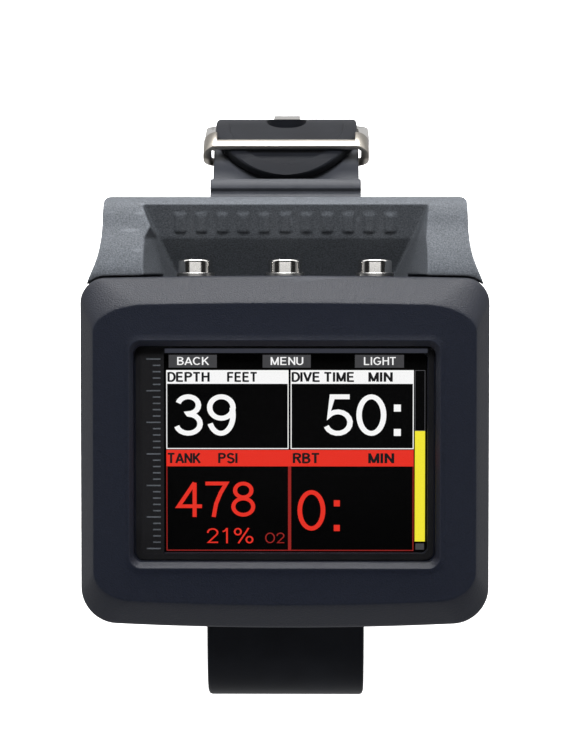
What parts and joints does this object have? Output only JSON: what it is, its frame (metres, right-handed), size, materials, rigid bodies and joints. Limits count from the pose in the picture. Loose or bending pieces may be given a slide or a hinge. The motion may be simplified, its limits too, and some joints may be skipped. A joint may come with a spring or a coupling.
{
  "type": "dive computer",
  "caption": "Wrist-worn dive computer: rounded rectangular case with a wide colour display, guarded steel push buttons at 12 o'clock and a buckled elastomer strap.",
  "frame": {"origin": "centre of the case's flat wrist-side face", "axes": "+Z out of the display, +Y towards 12 o'clock where the buttons are, +X towards 3 o'clock"},
  "size_m": [0.0706, 0.1082, 0.0885],
  "materials": {
    "housing": "fine-grained charcoal blue moulding",
    "guard": "fine-grained charcoal moulding",
    "moulding": "black moulding",
    "rubber": "black seal rubber",
    "strap": "matt charcoal elastomer",
    "window": "clear hard window with a black border",
    "polished_steel": "polished stainless steel",
    "brushed_steel": "turned stainless steel",
    "gold": "gold plating",
    "brass": "bare brass disc",
    "board": "green solder mask",
    "cell": "grey wrapped cell"
  },
  "bodies": {
    "case": {"front_housing": "housing", "display_window": "window", "window_seal": "rubber", "display_panel": "moulding", "display_frame": "brushed_steel", "main_board": "board", "battery_pack": "cell", "battery_pad": "rubber", "sound_disc": "brass", "back_case": "moulding", "case_seal": "rubber", "pressure_sensor": "brushed_steel", "sensor_seal": "rubber", "charge_contact_1": "gold", "charge_contact_2": "gold", "charge_contact_3": "gold", "charge_contact_4": "gold", "guard_frame": "guard", "case_screw_1": "polished_steel", "case_screw_2": "polished_steel", "case_screw_3": "polished_steel", "case_screw_4": "polished_steel", "button_bush_left": "brushed_steel", "button_spring_left": "brushed_steel", "button_switch_left": "moulding", "button_bush_middle": "brushed_steel", "button_spring_middle": "brushed_steel", "button_switch_middle": "moulding", "button_bush_right": "brushed_steel", "button_spring_right": "brushed_steel", "button_switch_right": "moulding", "upper_spring_bar": "brushed_steel", "lower_spring_bar": "brushed_steel"},
    "plunger_left": {"button_left": "polished_steel", "button_seal_left": "rubber", "button_clip_left": "brushed_steel"},
    "plunger_middle": {"button_middle": "polished_steel", "button_seal_middle": "rubber", "button_clip_middle": "brushed_steel"},
    "plunger_right": {"button_right": "polished_steel", "button_seal_right": "rubber", "button_clip_right": "brushed_steel"},
    "upper_strap": {"short_strap": "strap", "strap_tail": "strap", "buckle_pin": "brushed_steel"},
    "back_strap": {"strap_back": "strap"},
    "lower_strap": {"strap_root": "strap"},
    "buckle": {"buckle_frame": "polished_steel"},
    "tongue": {"buckle_tongue": "polished_steel"},
    "keeper": {"strap_keeper": "polished_steel"}
  },
  "joints": [
    {"name": "press_left", "type": "slide", "parent": "case", "child": "plunger_left", "axis": [0, -1, 0], "range_m": [0, 0.0012], "stiffness_N_per_m": 900, "springref_m": -0.001, "deforming": ["button_spring_left"]},
    {"name": "press_middle", "type": "slide", "parent": "case", "child": "plunger_middle", "axis": [0, -1, 0], "range_m": [0, 0.0012], "stiffness_N_per_m": 900, "springref_m": -0.001, "deforming": ["button_spring_middle"]},
    {"name": "press_right", "type": "slide", "parent": "case", "child": "plunger_right", "axis": [0, -1, 0], "range_m": [0, 0.0012], "stiffness_N_per_m": 900, "springref_m": -0.001, "deforming": ["button_spring_right"]},
    {"name": "strap_sway", "type": "hinge", "parent": "case", "child": "upper_strap", "pos_m": [0, 0.0406, 0.0015], "axis": [1, 0, 0], "range_deg": [-8, 8], "stiffness_Nm_per_rad": 1.2},
    {"name": "upper_bend", "type": "hinge", "parent": "upper_strap", "child": "back_strap", "pos_m": [0, 0.0496, -0.058], "axis": [1, 0, 0], "range_deg": [-8, 8]},
    {"name": "lower_bend", "type": "hinge", "parent": "back_strap", "child": "lower_strap", "pos_m": [0, -0.0196, -0.058], "axis": [1, 0, 0], "range_deg": [-8, 8]},
    {"name": "buckle_swing", "type": "hinge", "parent": "upper_strap", "child": "buckle", "pos_m": [0, 0.0552, -0.026], "axis": [1, 0, 0], "range_deg": [-1, 4], "stiffness_Nm_per_rad": 0.05},
    {"name": "tongue_swing", "type": "hinge", "parent": "buckle", "child": "tongue", "pos_m": [0, 0.0552, -0.026], "axis": [1, 0, 0], "range_deg": [0, 8], "stiffness_Nm_per_rad": 0.02},
    {"name": "keeper_slide", "type": "hinge", "parent": "upper_strap", "child": "keeper", "pos_m": [0, 0.0394, -0.0205], "axis": [1, 0, 0], "range_deg": [-40, 3], "stiffness_Nm_per_rad": 0.02}
  ],
  "couplings": [
    {"joint": "upper_bend", "follows": "strap_sway", "ratio": -1},
    {"joint": "lower_bend", "follows": "strap_sway", "ratio": 1}
  ]
}
